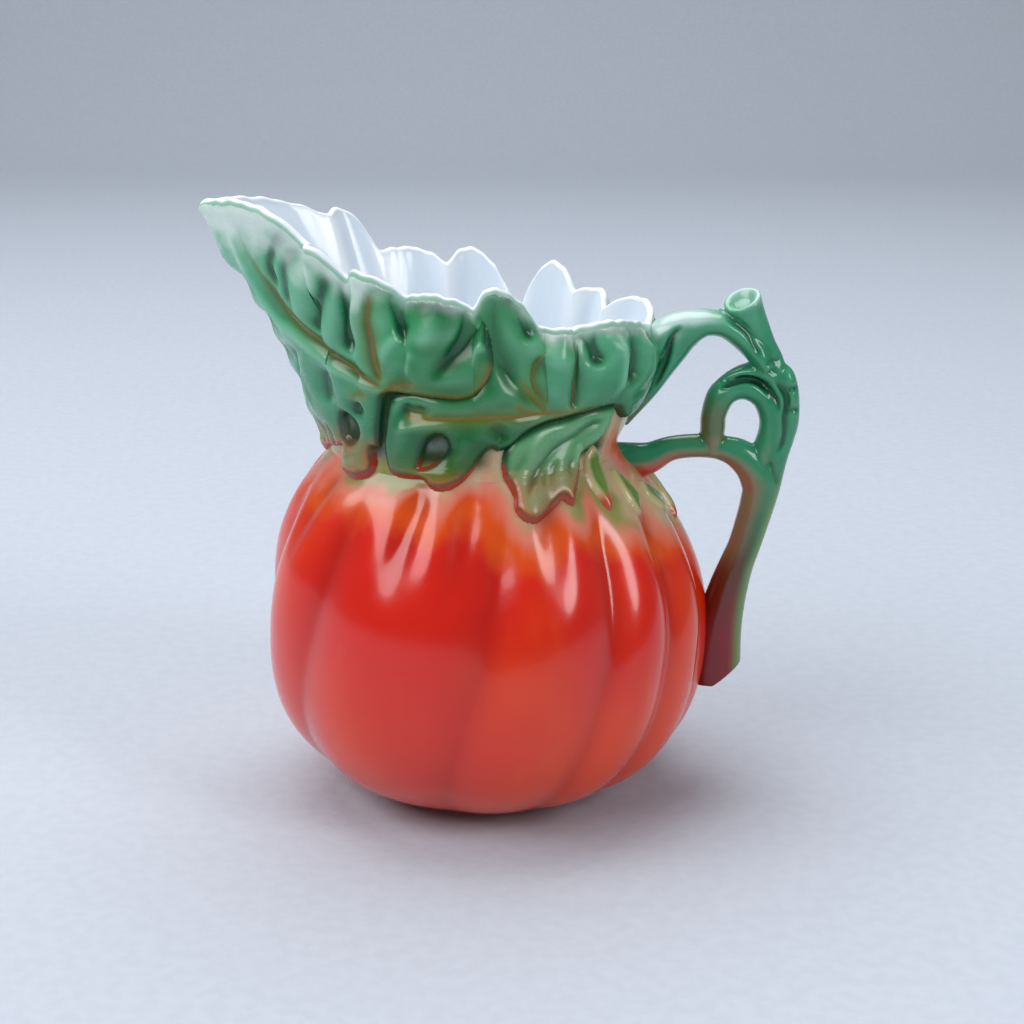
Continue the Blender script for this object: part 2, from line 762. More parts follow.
@dataclass(frozen=True)
class LeafGlaze:
    """Green sprayed over white: pale at the rim, deep below, with brown veins and red outlines."""

    white: Colour = (0.66, 0.80, 0.73)
    rim: Colour = (0.15, 0.44, 0.25)
    mint: Colour = (0.030, 0.28, 0.10)
    middle: Colour = (0.004, 0.145, 0.036)
    deep: Colour = (0.001, 0.10, 0.016)
    olive: Colour = (0.06, 0.14, 0.004)
    blush: Colour = (0.56, 0.14, 0.04)
    cream: Colour = (0.48, 0.50, 0.26)
    hollow: Colour = (0.002, 0.040, 0.016)
    ridge: Colour = (0.24, 0.60, 0.40)
    thin: Colour = (0.09, 0.46, 0.27)
    halo: Colour = (0.20, 0.22, 0.008)
    vein: Colour = (0.28, 0.10, 0.004)
    outline: Colour = (0.50, 0.032, 0.005)
    gloss: Gloss = field(default_factory=lambda: Gloss(roughness=0.22, coat=0.12))

    def build(self) -> bpy.types.Material:
        """The leaves' material."""
        shade = Shade("leaf_glaze_paint")
        cloud = shade.noise(110.0, 4.0)
        rise = shade.mask("rise") + 0.16 * (cloud - 0.5)
        stops = (
            (0.0, self.olive),
            (0.2, self.deep),
            (0.44, self.middle),
            (0.72, self.mint),
            (0.9, self.mint),
            (1.0, self.rim),
        )
        green = rise.stops(*stops)
        green = shade.mix(shade.mask("fair") * (0.6 + 0.9 * (cloud - 0.5)), green, self.thin)
        green = shade.mix(shade.mask("shaded") * 0.75, green, self.deep)
        pale = shade.mask("cream") * (0.3 + shade.mask("ridge") + 1.4 * (cloud - 0.5))
        green = shade.mix(pale, green, self.cream)
        green = shade.mix(shade.mask("blush") * (1 + 0.5 * (cloud - 0.5)), green, self.blush)
        green = shade.mix(shade.mask("hollow") * 0.8, green, self.hollow)
        green = shade.mix(shade.mask("ridge") * 0.6 * rise.ramp(0.0, 0.6), green, self.ridge)
        green = shade.mix(shade.mask("glow") * (0.5 + 0.9 * (cloud - 0.5)), green, self.halo)
        edge = shade.mask("rise") + 0.2 * (shade.noise(190.0, 2.0) - 0.5) + 0.06 * shade.mask("ridge")
        edge = edge + 0.1 * shade.mask("fair")
        green = shade.mix(edge.ramp(0.91, 1.06) * 0.95, green, self.white)
        green = shade.mix(shade.mask("vein") * (0.4 + 0.8 * cloud), green, self.vein)
        green = shade.mix(shade.mask("outline") * 0.9, green, self.outline)
        return shade.glaze(green, self.gloss)


@dataclass(frozen=True)
class SepalGlaze:
    """Green sepals with cream edges and red tips."""

    green: Colour = (0.12, 0.23, 0.035)
    cream: Colour = (0.52, 0.45, 0.22)
    tip: Colour = (0.48, 0.035, 0.012)
    gloss: Gloss = field(default_factory=Gloss)

    def build(self) -> bpy.types.Material:
        """The sepals' material."""
        shade = Shade("sepal_glaze_paint")
        cloud = shade.noise(240.0, 3.0)
        colour = shade.mix(shade.mask("middle") + 0.4 * (cloud - 0.5), self.cream, self.green)
        colour = shade.mix(shade.mask("tip").ramp(0.35, 0.9) * 0.9, colour, self.tip)
        return shade.glaze(colour, self.gloss)


@dataclass(frozen=True)
class VineGlaze:
    """Green stems: pale at the stub and the collar, brown below, maroon at the foot."""

    green: Colour = (0.016, 0.235, 0.105)
    light: Colour = (0.13, 0.48, 0.29)
    dark: Colour = (0.004, 0.045, 0.018)
    pale: Colour = (0.46, 0.62, 0.60)
    lime: Colour = (0.17, 0.25, 0.05)
    olive: Colour = (0.12, 0.13, 0.045)
    brown: Colour = (0.085, 0.035, 0.012)
    maroon: Colour = (0.22, 0.003, 0.006)
    coral: Colour = (0.56, 0.05, 0.02)
    pink: Colour = (0.30, 0.16, 0.09)
    gloss: Gloss = field(default_factory=Gloss)

    def build(self) -> bpy.types.Material:
        """The handle's material."""
        shade = Shade("vine_glaze_paint")
        cloud = shade.noise(150.0, 3.0)
        drift = 0.5 * (cloud - 0.5)
        colour = shade.mix(shade.mask("light") + drift, self.green, self.light)
        clouded = {"olive": self.olive, "brown": self.brown, "maroon": self.maroon, "pink": self.pink}
        for name, tint in clouded.items():
            colour = shade.mix(shade.mask(name) * (1 + drift), colour, tint)
        colour = shade.mix(shade.mask("coral"), colour, self.coral)
        colour = shade.mix(shade.mask("lime"), colour, self.lime)
        colour = shade.mix(shade.mask("crease") * 0.85, colour, self.dark)
        colour = shade.mix(shade.mask("pale") * (1 + 0.4 * (cloud - 0.5)), colour, self.pale)
        return shade.glaze(colour, self.gloss)


# Pieces


@dataclass
class TomatoBody:
    """The hollow, lobed body."""

    skin: JugSkin
    columns: int = 480
    lower_rows: int = 60
    upper_rows: int = 74
    inner_rows: int = 34
    sharp_degrees: float = 50.0

    def build(self, finish: bpy.types.Material, edges: np.ndarray) -> bpy.types.Object:
        """Makes the body.

        Args:
            finish: its glaze.
            edges: samples of the leaves' lower edges, which the paint fades from.

        Returns:
            The body as one closed piece.
        """
        skin = self.skin
        angle = np.linspace(-180, 180, self.columns, endpoint=False)
        t = np.linspace(0, 1, self.lower_rows + 1)
        lower_z = skin.widest_height * (1 - np.cos(t * np.pi / 2))
        lower = skin.body(angle[None, :], lower_z[:, None])
        shares = np.linspace(-1, 0, self.upper_rows + 1)[1:]
        upper = skin.point(angle[None, :], shares[:, None])
        inside_z = np.linspace(skin.seam_height, skin.floor_thickness, self.inner_rows + 1)[:-1]
        inside = skin.cavity(angle[None, :], inside_z[:, None])
        foot = np.linspace(0.2, 0.9, 5)[:, None, None] * lower[:1] * [1, 1, 0]
        ledge = lerp(upper[-1:], inside[:1], 0.12)
        rings = np.concatenate([foot, lower, upper, ledge, inside])
        rows = len(rings)
        poles = np.array([[0, 0, 0], [0, 0, skin.floor_thickness]], float)
        vertices = np.concatenate([rings.reshape(-1, 3), poles])
        quads = rings_to_faces(rows, self.columns, False)
        around = np.arange(self.columns)
        beside = (around + 1) % self.columns
        count = rows * self.columns
        last = count - self.columns
        foot_fan = np.stack([np.full(self.columns, count), beside, around], -1)
        floor_fan = np.stack([np.full(self.columns, count + 1), last + around, last + beside], -1)
        fans = np.concatenate([foot_fan, floor_fan]).tolist()
        body = piece_from("glazed_body", vertices, quads, fans, self.sharp_degrees)
        body.data.materials.append(finish)
        outer = len(foot) + len(lower) + len(upper)
        z = rings[:outer, :, 2]
        sunk = (1 - skin.lobe(angle[None, :], z)) ** 2.5 * skin.groove_at(z) / skin.groove_depth
        sunk += 0.8 * skin.flute_at(angle[None, :], z)
        groove = np.zeros(len(vertices))
        groove[: outer * self.columns] = np.clip(sunk, 0, 1).ravel()
        inner = np.zeros(len(vertices))
        inner[outer * self.columns :] = 1
        inner[count] = 0
        bare = np.maximum(inner, smoothstep(-vertices[:, 2], -0.25, 0.0))
        near = closeness(vertices, edges) * (1 - inner)
        paint(body, {"groove": groove, "near_leaf": near, "bare": bare})
        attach(body, ROOT)
        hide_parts("tomato_body")
        return body


def closeness(points: np.ndarray, edges: np.ndarray, reach: float = 10.0) -> np.ndarray:
    """How close points are to the leaves' edges: 1 at an edge, 0 at the reach in millimetres."""
    distance, _ = nearest(points, edges)
    return np.clip(1 - distance / reach, 0, 1)


@dataclass
class Collar:
    """The wall of the neck and lip, with its rounded, ruffled rim."""

    skin: JugSkin
    columns: int = 480
    outer_rows: int = 46
    rim_rows: int = 9
    inner_rows: int = 44
    sharp_degrees: float = 50.0

    def build(self, finish: bpy.types.Material, edges: np.ndarray) -> bpy.types.Object:
        """Makes the collar.

        Args:
            finish: its glaze.
            edges: samples of the leaves' lower edges.

        Returns:
            The collar as one closed ring.
        """
        skin = self.skin
        angle = np.linspace(-180, 180, self.columns, endpoint=False)
        shares = np.linspace(0, 1, self.outer_rows + 1)
        outside = skin.point(angle[None, :], shares[:, None])
        inward = skin.polar(angle, np.full_like(angle, -1.0), np.zeros_like(angle), np.zeros_like(angle))
        inner_shares = np.linspace(1, 0, self.inner_rows + 1)
        wall = lerp(skin.body_wall, skin.rim_wall, inner_shares)
        inside = skin.point(angle[None, :], inner_shares[:, None]) + wall[:, None, None] * inward
        turn = np.linspace(0, np.pi, self.rim_rows + 2)[1:-1]
        across = skin.rim_wall / 2 * (1 - np.cos(turn))
        above = skin.rim_wall / 2 * np.sin(turn)
        rim = outside[-1][None] + across[:, None, None] * inward[None]
        rim[..., 2] += above[:, None]
        rings = np.concatenate([outside, rim, inside])
        faces = rings_to_faces(len(rings), self.columns, True)
        collar = piece_from("glazed_collar", rings.reshape(-1, 3), faces, (), self.sharp_degrees)
        collar.data.materials.append(finish)
        on_rim = slice(len(outside), len(outside) + len(rim))
        rise, painted, fold = np.zeros((3, len(rings), self.columns))
        rise[: len(outside)] = shares[:, None]
        rise[on_rim] = 1
        painted[: len(outside)] = 1
        painted[on_rim] = (1 - smoothstep(turn / np.pi, 0.0, 0.55))[:, None]
        _, swell = skin.ruffle(angle)
        fold[on_rim.stop :] = lerp(0.7, swell[None, :], inner_shares[:, None])
        near = closeness(rings.reshape(-1, 3), edges)
        from_lip = np.abs(np.mod(angle, 360) - 180)
        open_sides = smoothstep(from_lip, 148, 158) + bell(from_lip - 101, 6)
        gap = smoothstep(rise, 0.04, 0.11) * (1 - open_sides)[None, :]
        masks = {"rise": rise, "painted": painted, "fold": fold, "near_leaf": near, "gap": gap}
        paint(collar, {**masks, "groove": np.zeros(rise.size)})
        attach(collar, ROOT)
        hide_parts("neck_wall")
        return collar


@dataclass(frozen=True)
class Stroke:
    """A ridge (height above 0) or a groove (below 0) that is tooled along a line on a leaf.

    The points are drawn as angle from the lip and collar share. line is how strongly it is painted,
    and ends are the shares of its length over which it rises and falls away.
    """

    points: Points
    width: float
    height: float
    line: float = 0.0
    ends: tuple[float, float] = (0.25, 0.35)


@dataclass(frozen=True)
class LeafDrawing:
    """A leaf's outline, the gaps between its lobes and the strokes that shape it.

    cream is how pale its raised parts are painted, blush the share under which it reddens, and lift
    how much higher up the collar's greens it is painted. fair gives tones at angles from the lip:
    above 0 the green lies thinner and paler there, below 0 deeper.
    """

    outline: Points
    strokes: tuple[Stroke, ...]
    gaps: tuple[Points, ...] = ()
    thickness: float = 1.2
    puff: float = 1.0
    puff_radius: float = 2.3
    angle_step: float = 0.45
    share_step: float = 0.0075
    lowest_angle: float | None = None
    fade: float = 1.8
    cream: float = 0.0
    blush: float = 0.02
    lift: float = 0.0
    fair: Points = ((0.0, 0.0),)


SPOUT_LEAF = LeafDrawing(
    outline=(
        (-4, 0.99), (8, 0.99), (20, 0.99), (34, 0.985), (48, 0.985), (65, 0.985), (80, 0.985), (91, 0.985),
        (94, 0.92), (97, 0.82), (98.8, 0.7), (98.5, 0.63), (96, 0.55), (92, 0.5), (85, 0.463), (76.5, 0.46),
        (66.5, 0.46), (59, 0.452), (56, 0.42), (54.7, 0.34), (53.5, 0.25), (52.5, 0.145), (49.5, 0.12),
        (50, 0.03), (48.5, -0.02), (43.5, -0.05), (37.5, -0.05), (32, -0.03), (30, 0.04), (30, 0.085),
        (21, 0.05), (10, 0.02), (-4, -0.01), (-6, 0.5),
    ),
    gaps=(
        ((34.5, 0.24), (38, 0.262), (41.5, 0.24), (42.5, 0.19), (41, 0.155), (37, 0.13), (33, 0.145)),
    ),
    strokes=(
        Stroke(
            ((57, 0.455), (45, 0.487), (37, 0.507), (30, 0.53), (23, 0.565), (16, 0.6), (12, 0.67),
             (10.5, 0.8), (8, 0.95)),
            0.65, 0.75, 0.0, (0.08, 0.2),
        ),
        Stroke(
            ((56, 0.475), (47, 0.515), (40, 0.545), (32, 0.58), (26, 0.607), (20.5, 0.65), (17.5, 0.72),
             (16, 0.82), (13, 0.95)),
            0.6, -0.75, 0.7, (0.05, 0.3),
        ),
        Stroke(((31, 0.97), (25, 0.88), (21, 0.82), (20.5, 0.76), (19, 0.68)), 0.85, -1.1),
        Stroke(((29, 0.98), (27, 0.93), (22, 0.86), (18.3, 0.79), (18.3, 0.73)), 0.5, 0.6),
        Stroke(((33, 0.96), (28.5, 0.86), (26, 0.79), (23.5, 0.7), (23.5, 0.64)), 0.7, -0.8),
        Stroke(((35.5, 0.97), (38, 0.92), (38.5, 0.85), (35, 0.74)), 0.6, 0.55),
        Stroke(((43, 0.93), (38.5, 0.79), (33, 0.66), (31, 0.61)), 0.9, -1.0),
        Stroke(((47, 0.96), (45.8, 0.79), (45, 0.69), (45, 0.59)), 0.75, -1.5, 0.0, (0.02, 0.25)),
        Stroke(((52, 0.97), (52.5, 0.9), (50.5, 0.78), (50, 0.66)), 0.7, 0.5),
        Stroke(((55.5, 0.92), (54, 0.8), (54, 0.7), (54, 0.6), (55.5, 0.49)), 0.5, -0.85, 0.8, (0.2, 0.1)),
        Stroke(((62.5, 0.97), (63, 0.88), (64, 0.82), (65.5, 0.75)), 0.8, -1.3),
        Stroke(((64, 0.79), (60.5, 0.75), (58, 0.68), (56.5, 0.58)), 0.5, 0.55),
        Stroke(((70, 0.75), (67.5, 0.66), (65, 0.56)), 0.55, 0.4),
        Stroke(((92, 0.99), (90, 0.92), (85.5, 0.78), (79, 0.64), (74, 0.54)), 1.3, -1.6, 0.0, (0.02, 0.5)),
        Stroke(((90, 0.92), (88.5, 0.82), (87, 0.71)), 0.7, -1.0, 0.0, (0.2, 0.3)),
        Stroke(((88.5, 0.68), (92, 0.75), (95.5, 0.76), (98, 0.7)), 0.5, 0.5),
        Stroke(((77, 0.95), (75.5, 0.84), (73, 0.72)), 1.0, 0.45),
        Stroke(((57.5, 0.47), (61, 0.5), (65.5, 0.52), (72, 0.55)), 0.4, -0.4, 1.0, (0.05, 0.4)),
        Stroke(
            ((59, 0.462), (69.5, 0.477), (78.5, 0.477), (86, 0.482), (92, 0.517), (95.3, 0.56),
             (96.8, 0.63), (97, 0.7)),
            0.45, 0.1, 0.9, (0.05, 0.3),
        ),
        Stroke(((28, 0.54), (21, 0.46), (15, 0.38), (15, 0.28), (19, 0.19)), 0.6, 0.5),
        Stroke(((20, 0.5), (12, 0.42), (8.5, 0.33), (9, 0.2)), 0.85, -0.8),
        Stroke(((52, 0.425), (46.5, 0.415), (42.5, 0.37)), 0.4, -0.3, 0.8),
        Stroke(((47, 0.37), (44, 0.31), (43, 0.27)), 0.7, -0.8),
        Stroke(((34, 0.48), (30, 0.38), (31, 0.27)), 0.9, -0.5),
        Stroke(((34, 0.24), (31, 0.1)), 0.6, -0.6, 0.0, (0.3, 0.05)),
        Stroke(((24, 0.2), (20, 0.04)), 0.8, -0.9, 0.0, (0.4, 0.05)),
        Stroke(((16, 0.2), (13, 0.02)), 0.7, -0.8, 0.0, (0.4, 0.05)),
        Stroke(((7, 0.17), (4, 0.0)), 0.7, -0.7, 0.0, (0.4, 0.05)),
        Stroke(((46, 0.2), (44, 0.08), (42, -0.01)), 0.9, 0.3),
        Stroke(((-8, 0.74), (3, 0.71), (11, 0.66)), 1.5, -0.6, 0.0, (0.05, 0.5)),
        Stroke(((-8, 0.58), (4, 0.55), (13, 0.5)), 1.5, -0.7, 0.0, (0.05, 0.5)),
        Stroke(((-8, 0.44), (4, 0.42), (12, 0.38)), 1.4, -0.6, 0.0, (0.05, 0.5)),
        Stroke(((-8, 0.31), (4, 0.29), (9, 0.26)), 1.3, -0.5, 0.0, (0.05, 0.5)),
    ),
    lowest_angle=0.0,
    blush=0.17,
    fair=((0, 1.0), (30, 0.85), (50, 0.45), (64, 0.05), (80, -0.7), (98, -0.6)),
)

SIDE_MIDRIB = (
    (63.5, 0.35), (70, 0.348), (80.5, 0.362), (94.5, 0.38), (110, 0.4), (121, 0.42), (138, 0.42),
    (154, 0.43),
)
SIDE_LEAF = LeafDrawing(
    outline=(
        (89, 0.985), (106, 0.985), (120, 0.985), (134, 0.98), (146, 0.98), (158, 0.975), (170, 0.965),
        (176, 0.92), (178, 0.8), (178, 0.66), (176.5, 0.5), (171, 0.34), (165, 0.28), (160, 0.31),
        (156, 0.38), (150, 0.41), (138, 0.385), (127, 0.37), (118.5, 0.335), (112, 0.28), (106.5, 0.21),
        (101, 0.178), (98, 0.19), (94.5, 0.15), (91, 0.07), (87, 0.005), (82.5, -0.035), (78, -0.045),
        (74.5, -0.035), (71, 0.0), (66, 0.0), (60, 0.004), (56, 0.04), (54.5, 0.16), (55.5, 0.26),
        (56.5, 0.33), (58.5, 0.42), (65, 0.47), (76.5, 0.485), (84, 0.492), (90, 0.522), (94.2, 0.57),
        (96.4, 0.63), (96.6, 0.7), (95, 0.8), (91.5, 0.9),
    ),
    gaps=(
        ((70.2, 0.06), (70.4, 0.1), (71.9, 0.18), (74.5, 0.232), (78.5, 0.25), (81, 0.21), (80.3, 0.16),
         (77, 0.11), (73.2, 0.075)),
    ),
    strokes=(
        Stroke(SIDE_MIDRIB, 1.3, 0.35),
        Stroke(SIDE_MIDRIB, 0.42, -0.45, 1.0, (0.1, 0.3)),
        Stroke(((62, 0.42), (66, 0.383), (70.5, 0.383), (77, 0.425)), 0.8, -0.9),
        Stroke(((59, 0.24), (66, 0.285), (78.5, 0.325), (90, 0.35)), 0.5, 0.5),
        Stroke(((97, 0.37), (101.5, 0.3), (100, 0.2)), 0.7, -0.4),
        Stroke(((105, 0.47), (111, 0.428), (121, 0.42)), 0.4, -0.3, 0.9, (0.3, 0.1)),
        Stroke(((108, 0.62), (115.5, 0.51), (121, 0.43)), 0.45, -0.45, 0.9, (0.3, 0.1)),
        Stroke(
            ((95, 0.97), (97.5, 0.84), (102, 0.68), (109, 0.56), (119, 0.45)), 1.6, -1.2, 0.0, (0.02, 0.5)
        ),
        Stroke(((109, 0.96), (112, 0.9), (113.5, 0.85)), 0.7, -1.0),
        Stroke(((119.5, 0.87), (115.5, 0.72), (115, 0.62), (118.5, 0.53), (125, 0.44)), 0.45, -0.55, 0.6),
        Stroke(((132.5, 0.95), (134, 0.73), (133.5, 0.54), (132.5, 0.43)), 0.45, -0.75, 0.5, (0.2, 0.1)),
        Stroke(((139, 0.99), (140.5, 0.91), (142.5, 0.8), (145, 0.73)), 0.75, -1.4, 0.0, (0.02, 0.3)),
        Stroke(((149, 0.97), (150.5, 0.92), (152.5, 0.76), (152.5, 0.61), (149.5, 0.45)), 0.65, 0.7),
        Stroke(((125, 0.97), (126, 0.85), (126, 0.7)), 1.1, 0.35),
        Stroke(((172, 0.985), (170, 0.93), (167, 0.86)), 0.8, -1.0),
        Stroke(((158, 0.92), (159.5, 0.72), (157, 0.54)), 0.8, -0.7),
        Stroke(((159, 0.46), (166, 0.52), (173, 0.6)), 0.8, -0.34),
        Stroke(((162, 0.37), (168, 0.44)), 0.7, -0.25),
        Stroke(((88, 0.27), (85, 0.08)), 1.0, 0.3),
        Stroke(((64, 0.27), (62, 0.1)), 1.0, 0.3),
    ),
    fair=((55, 0.25), (80, 0.0), (98, -0.5), (110, -0.2), (124, 0.45), (150, 0.5), (178, 0.2)),
)

HANGING_MIDRIB = (
    (151, 0.36), (138, 0.285), (127, 0.21), (119.5, 0.12), (114, 0.01), (109, -0.09), (107, -0.15),
)
HANGING_LEAF = LeafDrawing(
    outline=(
        (155, 0.4), (150, 0.425), (138, 0.395), (127, 0.375), (119, 0.345), (112, 0.3), (106, 0.24),
        (102.5, 0.15), (102.3, 0.03), (104, -0.03), (105, -0.08), (104.5, -0.13), (106.5, -0.175),
        (110, -0.192), (114.5, -0.172), (118.5, -0.14), (122, -0.112), (123.5, -0.13), (125.5, -0.138),
        (128, -0.1), (131.5, -0.06), (135.5, 0.01), (137.5, 0.09), (141.5, 0.125), (147.5, 0.165),
        (153, 0.26),
    ),
    strokes=(
        Stroke(HANGING_MIDRIB, 1.0, 0.3),
        Stroke(HANGING_MIDRIB, 0.5, -0.5, 0.0, (0.1, 0.3)),
        Stroke(((125, 0.13), (120.5, 0.0), (118.5, -0.1)), 0.45, -0.3, 0.0, (0.3, 0.5)),
        Stroke(((119, 0.07), (116.5, -0.02), (115.5, -0.1)), 0.4, -0.28, 0.0, (0.3, 0.5)),
        Stroke(((132, 0.13), (128.5, 0.02), (126.5, -0.07)), 0.45, -0.3, 0.0, (0.3, 0.5)),
        Stroke(((112, 0.2), (108, 0.08), (106, -0.02)), 0.5, -0.25, 0.0, (0.3, 0.5)),
        Stroke(((137, 0.22), (133, 0.1), (129.5, -0.03)), 0.5, 0.3),
    ),
    puff=0.55,
    puff_radius=1.5,
    fade=1.6,
    cream=0.32,
    blush=0.03,
    lift=0.5,
)


def sepal(outline: Points, middle: Points) -> LeafDrawing:
    """A small pointed sepal with one groove along its middle."""
    groove = Stroke(middle, 0.4, -0.35)
    return LeafDrawing(outline, (groove,), thickness=0.7, puff=0.2, puff_radius=1.0, fade=1.4)


SEPALS = (
    sepal(
        ((146, 0.13), (141, 0.07), (138, -0.01), (136.7, -0.09), (138.5, -0.2), (143.5, -0.13),
         (147.5, -0.04), (149.5, 0.06)),
        ((145, 0.08), (142, -0.04), (139.5, -0.14)),
    ),
    sepal(
        ((153, -0.05), (150, -0.12), (150, -0.21), (153.8, -0.33), (156.7, -0.26), (159.3, -0.19),
         (157, -0.1)),
        ((154, -0.09), (154, -0.2), (154, -0.29)),
    ),
    sepal(
        ((164, -0.16), (162, -0.22), (165, -0.29), (171, -0.37), (178, -0.45), (176.5, -0.35),
         (173, -0.25), (168, -0.17)),
        ((166, -0.21), (170, -0.29), (175, -0.39)),
    ),
)


@dataclass
class Leaf:
    """One leaf or sepal, tooled in relief on the jug's skin."""

    skin: JugSkin
    drawing: LeafDrawing
    side: Side
    node: str
    slot: str
    skirt: float = 0.8
    sunk: float = 0.4
    edge_round: float = 1.4
    rim_thickness: float = 0.3
    least_border: float = -0.35
    margin: tuple[float, float] = (4, 0.05)
    lower_share: float = 0.4
    rim_share: float = 0.93
    outline_samples: int = 26
    gap_samples: int = 20
    stroke_samples: int = 24
    tool_marks: float = 0.09
    vein_width: float = 0.2
    glow_width: float = 1.3

    def round_jug(self, from_lip: np.ndarray) -> np.ndarray:
        """Angle round the jug from an angle from the lip on this leaf's side."""
        return self.side.value * (180 - from_lip)

    def on_skin(self, flat: np.ndarray) -> np.ndarray:
        """Points of the skin from drawn points."""
        return self.skin.point(self.round_jug(flat[:, 0]), flat[:, 1])

    def outline(self) -> np.ndarray:
        """The outline as finely sampled drawn points."""
        return drawn(self.drawing.outline, self.outline_samples, True)

    def gap_edges(self) -> list[np.ndarray]:
        """The edges of the gaps between lobes as finely sampled drawn points."""
        return [drawn(gap, self.gap_samples, True) for gap in self.drawing.gaps]

    def distance_to(self, flat: np.ndarray, base: np.ndarray) -> np.ndarray:
        """Distance of a grid of points of the skin from a line of drawn points."""
        return nearest(base.reshape(-1, 3), self.on_skin(flat))[0].reshape(base.shape[:2])

    def lower_edge(self) -> np.ndarray:
        """Points of the skin along the outline below the collar's middle."""
        flat = self.outline()
        return self.on_skin(flat[flat[:, 1] < self.lower_share])

    def build(self, finish: bpy.types.Material) -> bpy.types.Object:
        """Makes the leaf as a closed relief.

        Args:
            finish: its glaze.

        Returns:
            The leaf, seated a little way into the wall.
        """
        drawing = self.drawing
        outline = self.outline()
        low = outline.min(0) - self.margin
        high = np.minimum(outline.max(0) + self.margin, (np.inf, 1.0))
        if drawing.lowest_angle is not None:
            low[0] = drawing.lowest_angle
        columns = int(round((high[0] - low[0]) / drawing.angle_step)) + 1
        rows = int(round((high[1] - low[1]) / drawing.share_step)) + 1
        from_lip, share = np.meshgrid(
            np.linspace(low[0], high[0], columns), np.linspace(low[1], high[1], rows)
        )
        angle = self.round_jug(from_lip)
        base = self.skin.point(angle, share)
        normal = self.skin.normal(angle, share)
        inside = self.reach_inside(outline, from_lip, share, base)
        rims = [outline[outline[:, 1] < self.rim_share], *self.gap_edges()]
        sides = self.distance_to(np.concatenate(rims), base)
        relief, masks = self.relief(inside, sides, share, base.reshape(-1, 3))
        tone = np.interp(from_lip, *np.array(drawing.fair).T)
        masks |= {"fair": np.clip(tone, 0, 1), "shaded": np.clip(-tone, 0, 1)}
        top = base + relief[..., None] * normal
        under = base - self.sunk * normal
        cells = inside > -self.skirt
        cells = cells[:-1, :-1] & cells[1:, :-1] & cells[:-1, 1:] & cells[1:, 1:]
        vertices, faces, used = self.closed_cells(top, under, cells)
        leaf = piece_from(f"glazed_{self.node}", vertices, faces)
        leaf.data.materials.append(finish)
        paint(leaf, {name: np.tile(mask.ravel()[used], 2) for name, mask in masks.items()})
        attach(leaf, ROOT)
        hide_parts(self.node)
        return leaf

    def reach_inside(
        self, outline: np.ndarray, from_lip: np.ndarray, share: np.ndarray, base: np.ndarray
    ) -> np.ndarray:
        """Distance from the leaf's edge, above zero within the leaf.

        Args:
            outline: the sampled outline.
            from_lip: grid of angles from the lip.
            share: grid of collar shares.
            base: the grid's points on the skin.

        Returns:
            A grid of distances in millimetres.
        """
        inside = np.where(within(from_lip, share, outline), 1, -1) * self.distance_to(outline, base)
        for edge in self.gap_edges():
            beyond = np.where(within(from_lip, share, edge), -1, 1) * self.distance_to(edge, base)
            inside = np.minimum(inside, beyond)
        return inside

    def along(self, stroke: Stroke, points: np.ndarray) -> tuple[np.ndarray, np.ndarray]:
        """How points lie to a stroke.

        Args:
            stroke: the stroke.
            points: points of the skin.

        Returns:
            Their distance from it, and its strength there, which falls away at its ends.
        """
        line = drawn(stroke.points, self.stroke_samples)
        distance, index = nearest(points, self.on_skin(line))
        share = index / (len(line) - 1)
        # A stroke from the rim, or one that rises at once, is strong from its first point
        first = 0.02 if stroke.points[0][1] > 0.9 else stroke.ends[0]
        return distance, band(share, -0.05 if first < 0.1 else 0.0, first, 1 - stroke.ends[1], 1.0)

    def relief(
        self, inside: np.ndarray, sides: np.ndarray, share: np.ndarray, points: np.ndarray
    ) -> tuple[np.ndarray, dict[str, np.ndarray]]:
        """The leaf's height over the skin and the masks for its paint.

        Args:
            inside: grid of distances from the edge.
            sides: grid of distances from the edge without the rim.
            share: grid of collar shares.
            points: the grid's points on the skin.

        Returns:
            The height in millimetres, and masks from 0 to 1 by name.
        """
        drawing = self.drawing
        groove, ridge, vein, glow = np.zeros((4, len(points)))
        free = sides.ravel().copy()
        for stroke in drawing.strokes:
            distance, strength = self.along(stroke, points)
            width = stroke.width * (0.6 + 0.4 * strength)
            sharp = bell(distance, width)
            broad = bell(distance, 2.4 * width)
            if stroke.height < 0:
                groove = np.minimum(groove, stroke.height * strength * lerp(broad, sharp, 0.55))
                if stroke.height < self.least_border:
                    free = np.minimum(free, distance + 3 * (1 - strength))
            else:
                ridge = np.maximum(ridge, stroke.height * strength * lerp(broad, sharp, 0.7))
            if stroke.line > 0:
                weight = stroke.line * np.sqrt(strength)
                vein = np.maximum(vein, weight * bell(distance, self.vein_width))
                glow = np.maximum(glow, weight * bell(distance, self.glow_width))
        x, y, z = points.T
        waves = np.sin(0.9 * x + 0.4 * z) * np.sin(0.8 * z - 0.7 * y + 0.5 * np.sin(0.6 * x))
        swell = drawing.puff * (1 - bell(free, drawing.puff_radius)) + self.tool_marks * waves
        fields = (groove, ridge, swell, vein, glow)
        groove, ridge, swell, vein, glow = (f.reshape(share.shape) for f in fields)
        tapered = 1 - smoothstep(share, 0.8, 1.0)
        thick = lerp(self.rim_thickness, drawing.thickness, tapered)
        even = np.ones(share.shape)
        tooled = blurred(ridge * tapered + groove * lerp(0.5, 1.0, tapered), even, 5)
        body = np.maximum(thick + blurred(swell * tapered, even, 24) + tooled, 0.1)
        round_share = np.clip(inside / self.edge_round, 0, 1)
        edge = np.sqrt(1 - (1 - round_share) ** 2)
        dive = -self.sunk * 0.9 * np.clip(-inside / (0.75 * self.skirt), 0, 1)
        height = np.where(inside > 0, body * edge, dive)
